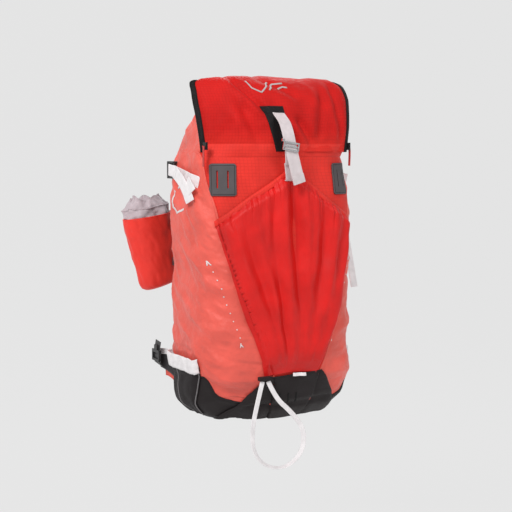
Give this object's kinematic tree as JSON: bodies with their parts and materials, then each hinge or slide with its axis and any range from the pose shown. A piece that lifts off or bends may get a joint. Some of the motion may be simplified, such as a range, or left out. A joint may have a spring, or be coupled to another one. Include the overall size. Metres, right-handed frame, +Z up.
{
  "type": "avalanche airbag backpack",
  "caption": "Ski-touring airbag backpack with a front-hinged hood, gathered front pocket, lash patches, axe loop, trigger handle, inflator and hip belt.",
  "frame": {"origin": "inside top of the haul loop, where the pack hangs", "axes": "+Z up along the pack's height, outer face towards -Y, wearer's side +Y, wearer's right +X"},
  "size_m": [0.3248, 0.3444, 0.6381],
  "materials": {
    "airbag_fabric": "coated nylon",
    "aluminium": "plain",
    "black_plastic": "moulded",
    "boot_black": "coated base fabric",
    "lash_rubber": "matt",
    "padding": "padded mesh",
    "red_plastic": "moulded",
    "ripstop_red": "fine ripstop weave",
    "sheet_plastic": "plain",
    "silver_fabric": "crinkled lining",
    "smooth_red": "shiny smooth shell fabric",
    "steel": "plain",
    "stretch_black": "stretch mesh",
    "webbing_black": "woven webbing",
    "webbing_white": "woven webbing"
  },
  "bodies": {
    "pack": {"airbag_feed": "aluminium", "airbag_tray": "boot_black", "axe_loop": "webbing_white", "axe_loop_tab": "webbing_black", "back_pads": "padding", "back_sheet": "boot_black", "base_boot": "boot_black", "base_patch": "boot_black", "bottle_pouch": "smooth_red", "closure_anchor": "webbing_white", "compression_straps": "webbing_white", "compression_tails": "webbing_white", "folded_airbag": "airbag_fabric", "frame_sheet": "sheet_plastic", "frame_stays": "aluminium", "front_panel": "ripstop_red", "front_pocket": "smooth_red", "gas_cartridge_large": "steel", "gas_cartridge_small": "steel", "haul_loop": "webbing_black", "inflator_housing": "aluminium", "ladder_locks": "black_plastic", "lash_patches": "lash_rubber", "lower_webbings": "webbing_black", "lumbar_pad": "padding", "pouch_collar": "silver_fabric", "pouch_straps": "boot_black", "shoulder_strap_left": "padding", "shoulder_strap_right": "padding", "side_panel_left": "ripstop_red", "side_panel_right": "ripstop_red", "side_pocket_elastics": "webbing_white", "side_pocket_left": "stretch_black", "side_pocket_right": "stretch_black", "sternum_rails": "black_plastic", "strap_adjusters": "black_plastic", "trigger_cable": "black_plastic", "trigger_guide": "webbing_black"},
    "hood": {"hood": "ripstop_red", "hood_zip_trims": "boot_black", "hood_patch": "boot_black", "zip_sliders": "black_plastic"},
    "closure_strap": {"closure_strap": "webbing_white", "hook_buckle": "steel"},
    "airbag_cover": {"airbag_cover": "ripstop_red"},
    "trigger_handle": {"trigger_handle": "red_plastic"},
    "firing_pin": {"firing_pin": "steel"},
    "sternum_strap": {"sternum_sliders": "black_plastic", "sternum_webbing": "webbing_black", "sternum_buckle": "black_plastic"},
    "hip_wing_left": {"hip_wing_left": "padding", "hip_webbing_left": "webbing_white", "hip_buckle_left": "black_plastic"},
    "hip_wing_right": {"hip_wing_right": "padding", "hip_webbing_right": "webbing_white", "hip_buckle_right": "black_plastic"},
    "zip_pull_left": {"zip_pull_left": "black_plastic"},
    "zip_pull_right": {"zip_pull_right": "black_plastic"}
  },
  "joints": [
    {"name": "hood_open", "type": "hinge", "parent": "pack", "child": "hood", "pos_m": [0, -0.1785, -0.1085], "axis": [1, 0, 0], "range_deg": [0, 110]},
    {"name": "closure_strap_swing", "type": "hinge", "parent": "hood", "child": "closure_strap", "pos_m": [0, -0.169, -0.0345], "axis": [1, 0, 0], "range_deg": [-110, 0]},
    {"name": "airbag_cover_open", "type": "hinge", "parent": "pack", "child": "airbag_cover", "pos_m": [0, -0.047, 0.0016], "axis": [1, 0, 0], "range_deg": [0, 130]},
    {"name": "trigger_pull", "type": "slide", "parent": "pack", "child": "trigger_handle", "axis": [0, 0, -1], "range_m": [0, 0.05]},
    {"name": "firing_pin_draw", "type": "slide", "parent": "pack", "child": "firing_pin", "axis": [1, 0, 0], "range_m": [0, 0.01]},
    {"name": "sternum_height", "type": "slide", "parent": "pack", "child": "sternum_strap", "axis": [0, 0, 1], "range_m": [-0.03, 0.03]},
    {"name": "hip_wing_left_fold", "type": "hinge", "parent": "pack", "child": "hip_wing_left", "pos_m": [-0.0685, 0.005, -0.483], "axis": [0, 0, -1], "range_deg": [-5, 60]},
    {"name": "hip_wing_right_fold", "type": "hinge", "parent": "pack", "child": "hip_wing_right", "pos_m": [0.0685, 0.005, -0.483], "axis": [0, 0, 1], "range_deg": [-5, 60]},
    {"name": "zip_pull_left_swing", "type": "hinge", "parent": "hood", "child": "zip_pull_left", "pos_m": [-0.1327, -0.1445, -0.098], "axis": [0, 1, 0], "range_deg": [0, 150]},
    {"name": "zip_pull_right_swing", "type": "hinge", "parent": "hood", "child": "zip_pull_right", "pos_m": [0.1327, -0.1445, -0.098], "axis": [0, -1, 0], "range_deg": [0, 150]}
  ],
  "couplings": [
    {"joint": "closure_strap_swing", "follows": "hood_open", "ratio": -1},
    {"joint": "firing_pin_draw", "follows": "trigger_pull", "ratio": 0.2}
  ]
}
